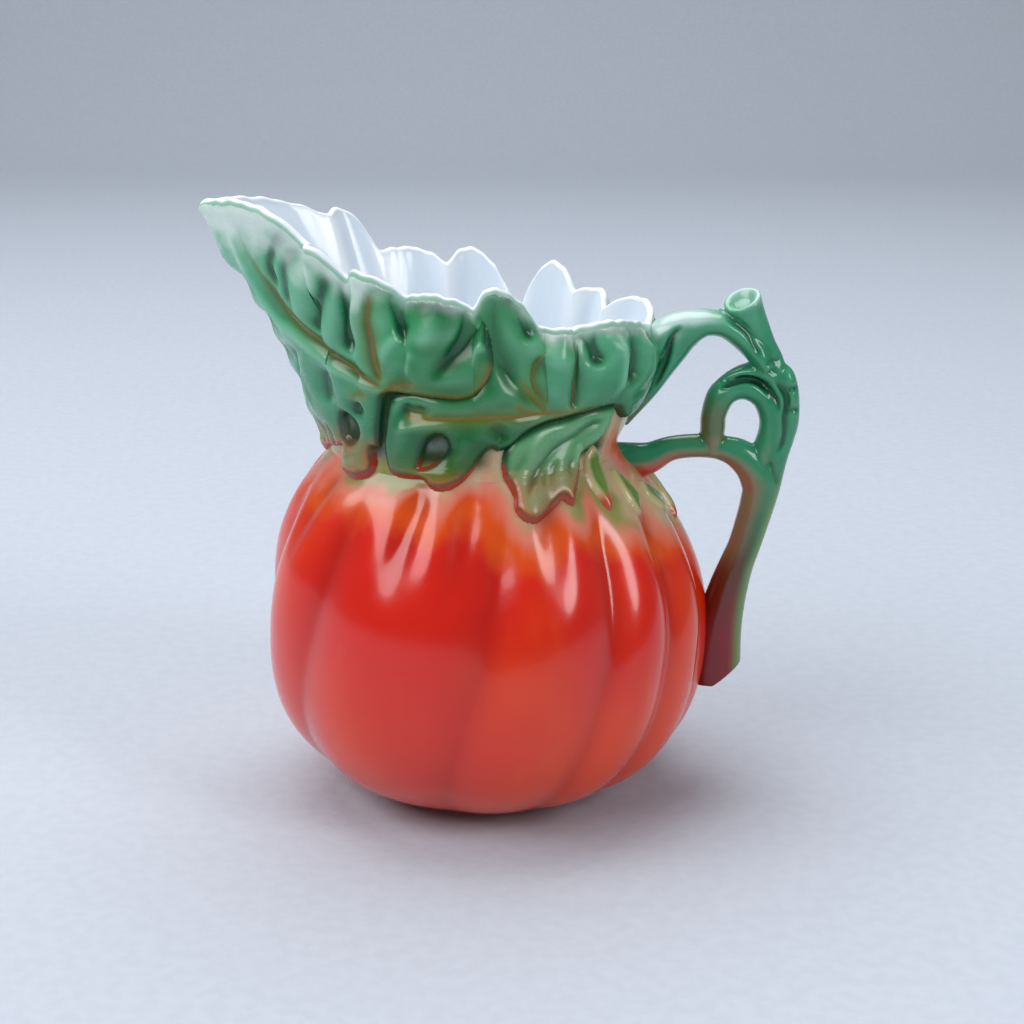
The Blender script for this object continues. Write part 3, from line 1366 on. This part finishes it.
        return height, self.paints(height, inside, share, {"ridge": ridge, "vein": vein, "glow": glow})

    def paints(
        self, height: np.ndarray, inside: np.ndarray, share: np.ndarray, lines: dict[str, np.ndarray]
    ) -> dict[str, np.ndarray]:
        """Masks for the paint: glaze pools in hollows and runs thin on ridges.

        Args:
            height: grid of heights over the skin.
            inside: grid of distances from the edge.
            share: grid of collar shares.
            lines: grids of the raised, painted and glowing lines.

        Returns:
            Masks from 0 to 1 by name.
        """
        drawing = self.drawing
        weight = (inside > 0.3).astype(float)
        wide = blurred(height, weight, 60) - height
        fine = blurred(height, weight, 6) - height
        low, high = share[inside > 0].min(), share[inside > 0].max()
        tip = 1 - smoothstep(share, low, lerp(low, high, 0.45))
        edge_near = 1 - smoothstep(inside, 0.2, drawing.fade)
        below = 1 - smoothstep(share, drawing.blush - 0.1, drawing.blush + 0.08)
        slit = band(share, 0.1, 0.2, 0.8, 0.9)
        return {
            "rise": np.clip(share + drawing.lift, 0, 1),
            "hollow": np.clip(2.0 * wide + 5 * fine + 0.5 * bell(inside, 0.6) * slit, 0, 1),
            "ridge": np.clip(-1.6 * wide - 3 * fine + 0.5 * lines["ridge"], 0, 1),
            "vein": np.clip(lines["vein"], 0, 1),
            "glow": np.clip(lines["glow"], 0, 1),
            "outline": bell(inside - 0.1, 0.3) * (1 - smoothstep(share, 0.04, 0.14)),
            "blush": below * (0.35 + 0.65 * edge_near),
            "middle": smoothstep(inside, 0.3, 1.3),
            "tip": tip,
            "cream": np.full(share.shape, drawing.cream),
        }

    @staticmethod
    def closed_cells(
        top: np.ndarray, under: np.ndarray, cells: np.ndarray
    ) -> tuple[np.ndarray, np.ndarray, np.ndarray]:
        """Joins chosen cells of two grids into one closed mesh.

        Args:
            top: grid of points of the upper face.
            under: grid of points of the lower face.
            cells: which cells of the grid are kept.

        Returns:
            The vertices, the faces, and the numbers of the grid points that are used.
        """
        rows, columns = top.shape[:2]
        number = np.arange(rows * columns).reshape(rows, columns)
        corner = [number[:-1, :-1], number[:-1, 1:], number[1:, 1:], number[1:, :-1]]
        quads = np.stack([c[cells] for c in corner], -1)
        used = np.unique(quads)
        compact = np.full(rows * columns, -1)
        compact[used] = np.arange(len(used))
        quads = compact[quads]
        count = len(used)
        padded = np.pad(cells, 1)
        missing = [padded[:-2, 1:-1], padded[1:-1, 2:], padded[2:, 1:-1], padded[1:-1, :-2]]
        walls = []
        for k, neighbour in enumerate(missing):
            open_side = cells & ~neighbour
            a = compact[corner[k][open_side]]
            b = compact[corner[(k + 1) % 4][open_side]]
            walls.append(np.stack([b, a, a + count, b + count], -1))
        faces = np.concatenate([quads, quads[:, ::-1] + count, *walls])
        vertices = np.concatenate([top.reshape(-1, 3)[used], under.reshape(-1, 3)[used]])
        return vertices, faces, used


@dataclass(frozen=True)
class Stem:
    """One stem of the handle as stations of X, Z and half thickness in millimetres.

    spread is how many times wider across the handle it is, up to its half width.
    """

    name: str
    stations: tuple[tuple[float, float, float], ...]
    spread: float = 1.0
    half_width: float = 2.8


@dataclass(frozen=True)
class Crease:
    """A crease pressed into both faces of the handle, drawn in X and Z."""

    points: Points
    width: float
    depth: float


@dataclass
class VineHandle:
    """The forked vine: swept stems that slip and glaze join into one."""

    skin: JugSkin
    sides: int = 28
    step: float = 0.5
    voxel: float = 0.22
    smoothing: int = 3
    stub_dish: float = 0.9
    stub_lean: float = 0.38
    root_depth: float = 0.9
    root_reach: float = 37.5
    outer_limit: float = 49.3
    foot_top: float = 24.0
    foot_cut: tuple[tuple[float, float], tuple[float, float]] = ((41.3, 19.7), (33.9, 14.0))
    stems: tuple[Stem, ...] = (
        Stem("stem", (
            (39.6, 79.6, 3.05), (40.4, 77.8, 2.75), (41.7, 75.3, 2.3), (43.1, 72.2, 2.1),
            (44.4, 69.9, 2.0), (45.2, 66.5, 2.4), (46.0, 62.7, 2.6), (46.4, 58.6, 2.5),
            (45.6, 54.4, 2.2), (43.9, 49.5, 2.9), (42.9, 45.2, 2.75), (41.4, 39.7, 2.62),
            (40.3, 36.6, 2.75), (39.3, 33.4, 3.05), (38.4, 29.8, 3.4), (37.5, 24.9, 3.9),
            (37.2, 19.0, 4.2), (37.2, 16.0, 4.2),
        )),
        Stem("upper_branch", (
            (21.5, 60.0, 0.9), (23.2, 62.2, 1.1), (25.6, 65.4, 1.4), (27.6, 68.6, 1.7), (29.3, 71.7, 2.3),
            (30.6, 74.5, 3.1), (33.4, 75.7, 2.3), (35.2, 75.8, 2.0), (37.4, 75.3, 2.0), (39.8, 73.6, 2.0),
            (42.0, 71.4, 1.95), (43.8, 68.8, 1.6),
        ), 2.2, 3.3),
        Stem("strap_web", (
            (23.6, 69.0, 1.9), (26.2, 72.6, 2.4), (28.6, 74.6, 2.6), (31.6, 75.6, 2.4),
        ), 1.5, 3.3),
        Stem("arch_branch", (
            (20.5, 53.2, 3.4), (23.4, 53.5, 3.0), (26.0, 54.1, 2.5), (29.0, 55.5, 2.0), (32.8, 56.0, 1.9),
            (36.8, 55.7, 1.95), (40.0, 54.6, 2.5), (42.4, 52.2, 2.8), (43.6, 48.5, 2.7),
        )),
        Stem("tendril", (
            (35.6, 54.6, 1.3), (35.6, 56.8, 1.75), (35.7, 59.0, 2.0), (35.8, 61.2, 2.0),
            (36.9, 64.2, 2.2), (38.9, 65.5, 2.1), (41.3, 65.4, 2.0), (43.6, 63.6, 1.85),
            (44.7, 60.6, 1.75), (44.6, 58.0, 1.75), (43.9, 55.4, 1.8), (43.2, 52.8, 1.7),
        ), 1.3),
        Stem("bract", (
            (36.2, 66.2, 0.4), (38.2, 67.3, 0.8), (40.3, 68.1, 1.05), (42.5, 68.2, 1.3), (44.6, 67.2, 1.5),
            (46.0, 64.5, 1.2),
        ), 2.0),
        Stem("sheath", (
            (45.9, 69.3, 0.5), (46.9, 67.6, 1.3), (47.6, 64.5, 1.5), (47.8, 61.0, 1.5), (47.7, 58.6, 1.3),
            (47.3, 56.4, 0.8), (46.9, 54.4, 0.3),
        ), 1.7),
    )
    creases: tuple[Crease, ...] = (
        Crease(((36.6, 77.6), (38.4, 76.3), (40.3, 74.9), (41.6, 72.6), (42.8, 70.8)), 0.5, 0.45),
        Crease(((43.2, 69.6), (44.6, 70.2), (46.0, 70.0)), 0.7, 0.22),
        Crease(
            ((36.3, 65.9), (37.9, 66.6), (40.3, 67.2), (42.7, 66.6), (45.2, 64.1), (46.0, 61.5)), 0.45, 0.7
        ),
        Crease(((44.7, 67.8), (46.8, 64.5), (46.7, 61.2), (46.7, 57.9), (45.6, 55.0)), 0.45, 0.6),
        Crease(((46.9, 65.6), (48.8, 66.0)), 0.45, 0.5),
        Crease(((47.0, 62.3), (49.0, 62.6)), 0.4, 0.4),
        Crease(((44.6, 54.3), (46.2, 50.0)), 0.4, 0.35),
        Crease(((30.2, 76.0), (28.6, 73.9), (28.0, 71.1), (27.1, 68.6), (25.9, 65.3)), 0.5, 0.6),
    )

    def sweep_tree(self, finish: bpy.types.Material) -> bpy.types.GeometryNodeTree:
        """The node tree that sweeps a round stem along a path, flattened across the handle.

        Args:
            finish: the glaze that the swept mesh gets.

        Returns:
            The tree, with named inputs for its sizes.
        """
        tree = bpy.data.node_groups.new("stem_sweep", "GeometryNodeTree")
        kinds = {"Path": "Geometry", "Step": "Float", "Half Width": "Float", "Spread": "Float"}
        for name, kind in {**kinds, "Sides": "Int"}.items():
            tree.interface.new_socket(name, in_out="INPUT", socket_type=f"NodeSocket{kind}")
        tree.interface.new_socket("Mesh", in_out="OUTPUT", socket_type="NodeSocketGeometry")
        given = tree.nodes.new("NodeGroupInput")
        result = tree.nodes.new("NodeGroupOutput")

        def add(kind: str, links: dict[Any, Any], **settings: Any) -> bpy.types.Node:
            """A node with its settings, then its links or values."""
            made = tree.nodes.new(kind)
            for key, value in settings.items():
                setattr(made, key, value)
            for key, value in links.items():
                if isinstance(value, bpy.types.NodeSocket):
                    tree.links.new(value, made.inputs[key])
                else:
                    made.inputs[key].default_value = value
            return made

        path = {"Curve": given.outputs["Path"], "Length": given.outputs["Step"]}
        even = add("GeometryNodeResampleCurve", path, mode="LENGTH")
        radius = add("GeometryNodeInputRadius", {})
        stored = {"Geometry": even.outputs[0], "Name": "thick", "Value": radius.outputs[0]}
        kept = add("GeometryNodeStoreNamedAttribute", stored, domain="POINT")
        round_ring = {"Resolution": given.outputs["Sides"], "Radius": 1.0}
        ring = add("GeometryNodeCurvePrimitiveCircle", round_ring)
        rail = {"Curve": kept.outputs[0], "Profile Curve": ring.outputs[0], "Fill Caps": True}
        swept = add("GeometryNodeCurveToMesh", {**rail, "Scale": radius.outputs[0]})
        thick = add("GeometryNodeInputNamedAttribute", {"Name": "thick"})
        width = given.outputs["Half Width"]
        spread = given.outputs["Spread"]
        ratio = add("ShaderNodeMath", {0: width, 1: thick.outputs[0]}, operation="DIVIDE")
        share = add("ShaderNodeMath", {0: ratio.outputs[0], 1: spread}, operation="MINIMUM")
        scale = add("ShaderNodeCombineXYZ", {0: 1.0, 1: share.outputs[0], 2: 1.0})
        place = add("GeometryNodeInputPosition", {})
        flat = add("ShaderNodeVectorMath", {0: place.outputs[0], 1: scale.outputs[0]}, operation="MULTIPLY")
        moved = add("GeometryNodeSetPosition", {"Geometry": swept.outputs[0], "Position": flat.outputs[0]})
        real = add("GeometryNodeRealizeInstances", {"Geometry": moved.outputs[0]})
        glazed = add("GeometryNodeSetMaterial", {"Geometry": real.outputs[0], "Material": finish})
        tree.links.new(glazed.outputs[0], result.inputs[0])
        return tree

    def swept(self, stem: Stem, tree: bpy.types.GeometryNodeTree) -> bpy.types.Mesh:
        """One stem as a plain mesh.

        Args:
            stem: its stations.
            tree: the sweep.

        Returns:
            The swept mesh in metres.
        """
        path = drawn(stem.stations, 8)
        curve = bpy.data.curves.new(stem.name, "CURVE")
        curve.dimensions = "3D"
        spline = curve.splines.new("POLY")
        spline.points.add(len(path) - 1)
        for point, (x, z, thick) in zip(spline.points, path):
            point.co = (x * MM, 0.0, z * MM, 1.0)
            point.radius = thick * MM
        holder = placed(stem.name, curve)
        sweep = holder.modifiers.new("sweep", "NODES")
        sweep.node_group = tree
        sizes = {"Step": self.step * MM, "Half Width": stem.half_width * MM, "Spread": stem.spread}
        sizes["Sides"] = self.sides
        for item in tree.interface.items_tree:
            if item.in_out == "INPUT" and item.name in sizes:
                sweep[item.identifier] = sizes[item.name]
        mesh = baked(holder)
        bpy.data.curves.remove(curve)
        return mesh

    def build(self, finish: bpy.types.Material) -> bpy.types.Object:
        """Makes the handle.

        Args:
            finish: its glaze.

        Returns:
            All stems as one closed, softened piece.
        """
        tree = self.sweep_tree(finish)
        vertices: list[np.ndarray] = []
        faces: list[list[int]] = []
        count = 0
        for stem in self.stems:
            mesh = self.swept(stem, tree)
            vertices.append(vertex_field(mesh, "co"))
            faces.extend([[count + i for i in face.vertices] for face in mesh.polygons])
            count += len(mesh.vertices)
            bpy.data.meshes.remove(mesh)
        rough = bpy.data.meshes.new("vine_rough")
        rough.from_pydata(np.concatenate(vertices).tolist(), [], faces)
        holder = placed("vine_rough", rough)
        joined = holder.modifiers.new("join", "REMESH")
        joined.mode = "VOXEL"
        joined.voxel_size = self.voxel * MM
        softened = holder.modifiers.new("soften", "SMOOTH")
        softened.factor = 0.5
        softened.iterations = self.smoothing
        mesh = baked(holder)
        bpy.data.meshes.remove(rough)
        vine = placed("glazed_vine_handle", mesh)
        mesh.name = vine.name
        mesh.materials.clear()
        mesh.materials.append(finish)
        depth = self.finish_shape(mesh)
        mesh.shade_smooth()
        paint(vine, self.masks(mesh, depth))
        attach(vine, ROOT)
        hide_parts("handle_stem", "handle_upper_branch", "handle_arch_branch", "handle_tendril",
                    "tendril_bract", "stem_sheath")
        return vine

    @staticmethod
    def points_of(mesh: bpy.types.Mesh) -> tuple[np.ndarray, np.ndarray]:
        """The vertices in millimetres and their normals."""
        return vertex_field(mesh, "co").astype(float) / MM, vertex_field(mesh, "normal").astype(float)

    def pressed(self, p: np.ndarray, out: np.ndarray) -> np.ndarray:
        """Depth to which the creases are pressed in at each vertex."""
        depth = np.zeros(len(p))
        flat = p[:, [0, 2]]
        for crease in self.creases:
            line = drawn(crease.points, 16)
            distance, index = nearest(flat, line)
            share = index / (len(line) - 1)
            ends = band(share, -0.02, 0.15, 0.8, 1.02)
            depth = np.maximum(depth, crease.depth * ends * bell(distance, crease.width))
        return depth * smoothstep(np.abs(out[:, 1]), 0.15, 0.7)

    @staticmethod
    def softened(mesh: bpy.types.Mesh, field: np.ndarray, passes: int) -> np.ndarray:
        """A field of values at the vertices, evened out along the edges.

        Args:
            mesh: whose edges are used.
            field: one row of values for each vertex.
            passes: how often it is evened out.

        Returns:
            The evened field.
        """
        ends = np.empty(2 * len(mesh.edges), np.int32)
        mesh.edges.foreach_get("vertices", ends)
        a, b = ends.reshape(-1, 2).T
        count = len(field)
        degree = np.maximum(np.bincount(a, minlength=count) + np.bincount(b, minlength=count), 1)
        for _ in range(passes):
            total = [np.bincount(a, f[b], count) + np.bincount(b, f[a], count) for f in field.T]
            field = (field + np.stack(total, -1) / degree[:, None]) / 2
        return field

    def finish_shape(self, mesh: bpy.types.Mesh) -> np.ndarray:
        """Dishes the stub, cuts the foot, presses the creases and keeps the roots within the wall.

        Args:
            mesh: the joined stems, which are changed.

        Returns:
            How far each vertex was pressed in by a crease.
        """
        p, out = self.points_of(mesh)
        depth = self.pressed(p, out)
        p = self.softened(mesh, p - depth[:, None] * out, 3)
        (x0, z0, thick), (x1, z1, _) = self.stems[0].stations[:2]
        axis = np.array([x0 - x1, 0, z0 - z1])
        axis /= np.linalg.norm(axis)
        along = (p - [x0, 0, z0]) @ axis
        across = np.linalg.norm(p - [x0, 0, z0] - along[:, None] * axis, axis=1)
        dish = self.stub_dish * (1 - smoothstep(across, 0.35 * thick, 0.8 * thick)) * (along > -0.6)
        lean = self.stub_lean * p[:, 1] * smoothstep(along, -2.5, 0.0) * (across < 1.3 * thick)
        p += (lean - dish)[:, None] * axis
        (xa, za), (xb, zb) = self.foot_cut
        cut = np.array([zb - za, 0, xa - xb]) / math.hypot(xa - xb, za - zb)
        below = np.minimum((p - [xa, 0, za]) @ cut, 0) * (p[:, 2] < self.foot_top)
        p -= below[:, None] * cut
        reach = np.hypot(p[:, 0] + self.skin.collar_offset, p[:, 1])
        close = np.flatnonzero(reach < self.root_reach)
        angle = np.degrees(np.arctan2(p[close, 1], p[close, 0] + self.skin.collar_offset))
        least = self.skin.radius_at(angle, p[close, 2]) - self.root_depth
        push = np.maximum(least / reach[close], 1.0)
        p[close, 0] = (p[close, 0] + self.skin.collar_offset) * push - self.skin.collar_offset
        p[close, 1] *= push
        p[:, 0] = np.minimum(p[:, 0], self.outer_limit)
        mesh.vertices.foreach_set("co", (p * MM).astype(np.float32).ravel())
        mesh.update()
        return depth

    def masks(self, mesh: bpy.types.Mesh, depth: np.ndarray) -> dict[str, np.ndarray]:
        """Masks for the handle's paint, one value for each vertex.

        Args:
            mesh: the finished handle.
            depth: how far each vertex was pressed in by a crease.

        Returns:
            Masks from 0 to 1 by name.
        """
        p, out = self.points_of(mesh)
        curve = self.hollowness(mesh, p, out)
        x, z = p[:, 0], p[:, 2]
        lower = 1 - smoothstep(z, 34, 52)
        on_arch = band(z, 44, 48, 57, 59) * (1 - smoothstep(x, 42, 46))
        under = smoothstep(-out[:, 2], -0.3, 0.5) * on_arch
        inner = smoothstep(-out[:, 0], -0.2, 0.6) * band(z, 34, 42, 50, 55)
        strand = band(z, 56, 59, 61, 66) * (1 - smoothstep(x, 37, 39))
        stub = smoothstep(z, 78.0, 80.2) * smoothstep(x, 35, 37)
        rim = stub * smoothstep(curve, -0.25, 0.02) * 0.6
        top = smoothstep(out[:, 2], -0.1, 0.6) * smoothstep(z, 71, 75.5) * (1 - smoothstep(x, 32, 38))
        outer = smoothstep(out[:, 0], 0.25, 0.8) * (1 - smoothstep(z, 44, 56))
        crest = np.clip(-curve * 2.2, 0, 1) * smoothstep(z, 50, 58)
        return {
            "light": np.clip(crest + 0.35 * smoothstep(z, 70, 79), 0, 1),
            "olive": 0.8 * strand,
            "brown": lower * (1 - smoothstep(out[:, 0], 0.1, 0.8)),
            "maroon": (1 - smoothstep(z, 22, 40)) * (1 - 0.7 * outer),
            "pink": np.clip(0.8 * under + 0.7 * inner, 0, 1),
            "coral": under * (1 - smoothstep(x, 25, 33)),
            "lime": 0.75 * outer,
            "crease": np.clip(curve * 2.5 + 1.4 * depth, 0, 1) * smoothstep(z, 30, 40),
            "pale": np.clip(np.maximum(stub - rim, 0.9 * top), 0, 1),
        }

    def hollowness(self, mesh: bpy.types.Mesh, p: np.ndarray, out: np.ndarray) -> np.ndarray:
        """How hollow (above 0) or ridged (below 0) the surface is at each vertex."""
        curve = ((self.softened(mesh, p, 20) - p) * out).sum(1)
        return self.softened(mesh, curve[:, None], 6)[:, 0]


@dataclass(frozen=True)
class SoftBox:
    """A lamp that faces the jug: its place, width and height in metres and its power in watts."""

    name: str
    place: tuple[float, float, float]
    width: float
    height: float
    power: float


@dataclass
class Studio:
    """A plain pale sweep, soft lights and the camera at the photograph's angle."""

    target: Vector = field(default_factory=lambda: Vector((0.004, 0.0, 0.045)))
    distance: float = 0.32
    elevation: float = 17.0
    lens: float = 70.3125
    sensor: float = 36.0
    clip_start: float = 0.01
    floor_colour: Colour = (0.52, 0.57, 0.65)
    floor_roughness: float = 0.7
    floor_specular: float = 0.25
    surround_colour: Colour = (0.92, 0.95, 1.0)
    surround_strength: float = 0.22
    lamps: tuple[SoftBox, ...] = (
        SoftBox("key", (-0.62, -0.36, 0.70), 1.2, 0.5, 6.2),
        SoftBox("fill", (0.66, -0.46, 0.52), 0.32, 0.5, 2.6),
        SoftBox("top", (-0.08, 0.25, 0.80), 0.9, 0.7, 5.5),
    )

    def build(self) -> None:
        """Makes the sweep, the lights, the world and the camera."""
        self.sweep()
        for box in self.lamps:
            self.light(box)
        self.world()
        self.camera()

    def sweep(self) -> None:
        """A floor that curves up into a backdrop."""
        reach, back, bend, height = 1.6, 0.75, 0.35, 1.5
        turn = np.linspace(0, np.pi / 2, 16)
        profile = [(-reach, 0.0)]
        profile += [(back + bend * math.sin(t), bend * (1 - math.cos(t))) for t in turn]
        profile.append((back + bend, height))
        vertices = [(x, y, z) for y, z in profile for x in (-reach, reach)]
        faces = [(2 * i, 2 * i + 1, 2 * i + 3, 2 * i + 2) for i in range(len(profile) - 1)]
        mesh = bpy.data.meshes.new("sweep")
        mesh.from_pydata(vertices, [], faces)
        mesh.shade_smooth()
        shade = Shade("pale_sweep")
        grain = shade.noise(420.0, 4.0)
        tone = tuple(0.96 * c for c in self.floor_colour)
        colour = shade.mix(grain.ramp(0.35, 0.65), tone, self.floor_colour)
        shade.feed(shade.shader.inputs["Base Color"], colour)
        shade.shader.inputs["Roughness"].default_value = self.floor_roughness
        shade.shader.inputs["Specular IOR Level"].default_value = self.floor_specular
        shade.bump(grain, distance=0.0006, strength=0.25)
        mesh.materials.append(shade.material)
        floor = placed("sweep", mesh)

    def aim(self, holder: bpy.types.Object, place: Sequence[float]) -> None:
        """Puts an object at a place, facing the jug."""
        holder.location = place
        holder.rotation_euler = (self.target - Vector(place)).to_track_quat("-Z", "Y").to_euler()

    def light(self, box: SoftBox) -> None:
        """Makes one lamp."""
        lamp = bpy.data.lights.new(box.name, "AREA")
        lamp.shape = "ELLIPSE"
        lamp.size = box.width
        lamp.size_y = box.height
        lamp.energy = box.power
        self.aim(placed(box.name, lamp), box.place)

    def world(self) -> None:
        """An even, pale surround."""
        world = bpy.data.worlds.new("studio")
        world.use_nodes = True
        surround = world.node_tree.nodes["Background"]
        surround.inputs["Color"].default_value = (*self.surround_colour, 1.0)
        surround.inputs["Strength"].default_value = self.surround_strength
        bpy.context.scene.world = world

    def camera(self) -> None:
        """The camera, level with the photograph's view of the jug."""
        rise = math.radians(self.elevation)
        place = self.target + self.distance * Vector((0, -math.cos(rise), math.sin(rise)))
        lens = bpy.data.cameras.new("camera")
        lens.lens = self.lens
        lens.sensor_width = self.sensor
        lens.clip_start = self.clip_start
        holder = placed("camera", lens)
        self.aim(holder, place)
        bpy.context.scene.camera = holder


def leaves_of(skin: JugSkin, side: Side) -> list[Leaf]:
    """The leaves and sepals of one side of the jug."""
    word = side.name.lower()
    leaves = [
        Leaf(skin, SPOUT_LEAF, side, f"spout_leaf_{word}", "leaf_glaze"),
        Leaf(skin, SIDE_LEAF, side, f"side_leaf_{word}", "leaf_glaze"),
        Leaf(skin, HANGING_LEAF, side, f"hanging_leaf_{word}", "leaf_glaze"),
    ]
    for k, drawing in enumerate(SEPALS, start=1):
        leaves.append(Leaf(skin, drawing, side, f"sepal_{word}_{k}", "sepal_glaze"))
    return leaves


def main() -> None:
    """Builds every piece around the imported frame."""
    logging.basicConfig(level=logging.INFO, format="%(name)s: %(message)s")
    scene = bpy.context.scene
    for thing in list(scene.objects):
        bpy.data.objects.remove(thing)
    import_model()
    scene.view_settings.view_transform = "Standard"
    skin = JugSkin()
    glazes = {"leaf_glaze": LeafGlaze().build(), "sepal_glaze": SepalGlaze().build()}
    leaves = leaves_of(skin, Side.FRONT) + leaves_of(skin, Side.BACK)
    edges = np.concatenate([leaf.lower_edge() for leaf in leaves])
    pieces = [leaf.build(glazes[leaf.slot]) for leaf in leaves]
    pieces.append(TomatoBody(skin).build(RedGlaze().build(), edges))
    pieces.append(Collar(skin).build(WhiteGlaze().build(), edges))
    pieces.append(VineHandle(skin).build(VineGlaze().build()))
    for piece in pieces:
        LOG.info("%s: %d faces", piece.name, len(piece.data.polygons))
    Studio().build()


if __name__ == "__main__":
    main()
